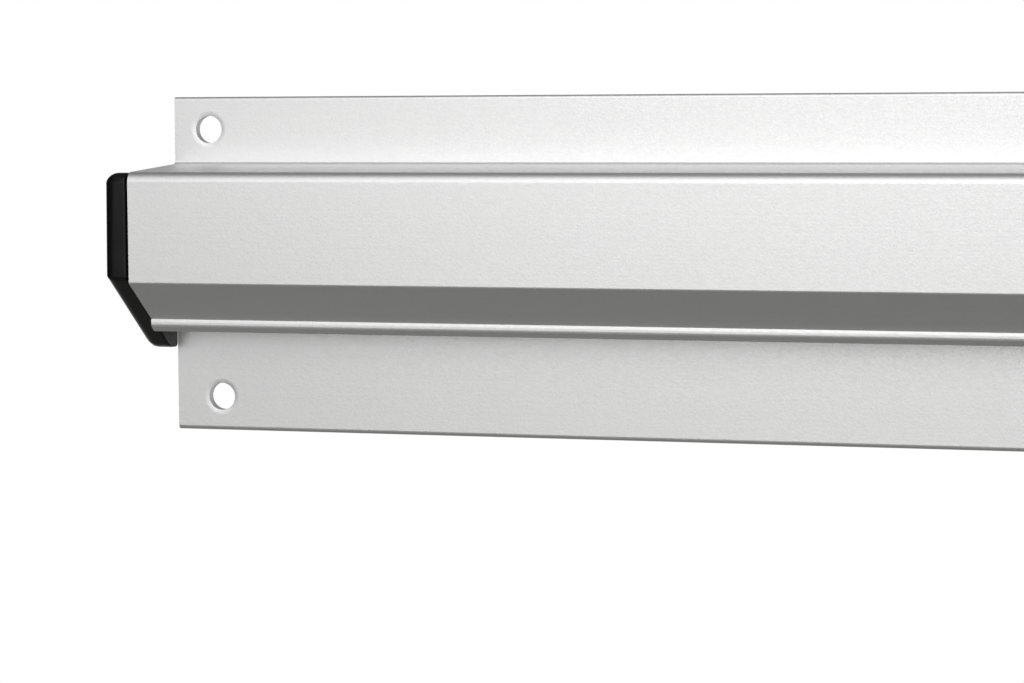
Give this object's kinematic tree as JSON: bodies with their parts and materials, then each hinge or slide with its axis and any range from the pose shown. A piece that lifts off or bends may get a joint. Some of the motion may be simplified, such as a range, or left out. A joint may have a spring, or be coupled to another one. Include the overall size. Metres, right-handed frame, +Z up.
{
  "type": "order ticket rail",
  "caption": "Wall-mounted order ticket rail: an extruded aluminium plate with a hood whose loose glass balls grip paper slips, closed by black end caps.",
  "frame": {"origin": "middle of the back plate's rear face, on the wall", "axes": "+X along the rail, +Y into the wall, +Z up"},
  "size_m": [0.3096, 0.024, 0.06],
  "materials": {
    "natural_aluminium": "satin, extruded",
    "black_moulding": "fine moulded satin",
    "clear_glass": "polished"
  },
  "bodies": {
    "rail": {"rail_profile": "natural_aluminium", "end_cap_left": "black_moulding", "end_cap_right": "black_moulding"},
    "glass_ball_01": {"glass_ball_01": "clear_glass"},
    "glass_ball_02": {"glass_ball_02": "clear_glass"},
    "glass_ball_03": {"glass_ball_03": "clear_glass"},
    "glass_ball_04": {"glass_ball_04": "clear_glass"},
    "glass_ball_05": {"glass_ball_05": "clear_glass"},
    "glass_ball_06": {"glass_ball_06": "clear_glass"},
    "glass_ball_07": {"glass_ball_07": "clear_glass"},
    "glass_ball_08": {"glass_ball_08": "clear_glass"},
    "glass_ball_09": {"glass_ball_09": "clear_glass"},
    "glass_ball_10": {"glass_ball_10": "clear_glass"},
    "glass_ball_11": {"glass_ball_11": "clear_glass"},
    "glass_ball_12": {"glass_ball_12": "clear_glass"},
    "glass_ball_13": {"glass_ball_13": "clear_glass"},
    "glass_ball_14": {"glass_ball_14": "clear_glass"},
    "glass_ball_15": {"glass_ball_15": "clear_glass"},
    "glass_ball_16": {"glass_ball_16": "clear_glass"},
    "glass_ball_17": {"glass_ball_17": "clear_glass"}
  },
  "joints": [
    {"name": "glass_ball_01_lift", "type": "slide", "parent": "rail", "child": "glass_ball_01", "axis": [0, -0.8211, 0.5707], "range_m": [0, 0.00425]},
    {"name": "glass_ball_02_lift", "type": "slide", "parent": "rail", "child": "glass_ball_02", "axis": [0, -0.8211, 0.5707], "range_m": [0, 0.00425]},
    {"name": "glass_ball_03_lift", "type": "slide", "parent": "rail", "child": "glass_ball_03", "axis": [0, -0.8211, 0.5707], "range_m": [0, 0.00425]},
    {"name": "glass_ball_04_lift", "type": "slide", "parent": "rail", "child": "glass_ball_04", "axis": [0, -0.8211, 0.5707], "range_m": [0, 0.00425]},
    {"name": "glass_ball_05_lift", "type": "slide", "parent": "rail", "child": "glass_ball_05", "axis": [0, -0.8211, 0.5707], "range_m": [0, 0.00425]},
    {"name": "glass_ball_06_lift", "type": "slide", "parent": "rail", "child": "glass_ball_06", "axis": [0, -0.8211, 0.5707], "range_m": [0, 0.00425]},
    {"name": "glass_ball_07_lift", "type": "slide", "parent": "rail", "child": "glass_ball_07", "axis": [0, -0.8211, 0.5707], "range_m": [0, 0.00425]},
    {"name": "glass_ball_08_lift", "type": "slide", "parent": "rail", "child": "glass_ball_08", "axis": [0, -0.8211, 0.5707], "range_m": [0, 0.00425]},
    {"name": "glass_ball_09_lift", "type": "slide", "parent": "rail", "child": "glass_ball_09", "axis": [0, -0.8211, 0.5707], "range_m": [0, 0.00425]},
    {"name": "glass_ball_10_lift", "type": "slide", "parent": "rail", "child": "glass_ball_10", "axis": [0, -0.8211, 0.5707], "range_m": [0, 0.00425]},
    {"name": "glass_ball_11_lift", "type": "slide", "parent": "rail", "child": "glass_ball_11", "axis": [0, -0.8211, 0.5707], "range_m": [0, 0.00425]},
    {"name": "glass_ball_12_lift", "type": "slide", "parent": "rail", "child": "glass_ball_12", "axis": [0, -0.8211, 0.5707], "range_m": [0, 0.00425]},
    {"name": "glass_ball_13_lift", "type": "slide", "parent": "rail", "child": "glass_ball_13", "axis": [0, -0.8211, 0.5707], "range_m": [0, 0.00425]},
    {"name": "glass_ball_14_lift", "type": "slide", "parent": "rail", "child": "glass_ball_14", "axis": [0, -0.8211, 0.5707], "range_m": [0, 0.00425]},
    {"name": "glass_ball_15_lift", "type": "slide", "parent": "rail", "child": "glass_ball_15", "axis": [0, -0.8211, 0.5707], "range_m": [0, 0.00425]},
    {"name": "glass_ball_16_lift", "type": "slide", "parent": "rail", "child": "glass_ball_16", "axis": [0, -0.8211, 0.5707], "range_m": [0, 0.00425]},
    {"name": "glass_ball_17_lift", "type": "slide", "parent": "rail", "child": "glass_ball_17", "axis": [0, -0.8211, 0.5707], "range_m": [0, 0.00425]}
  ]
}
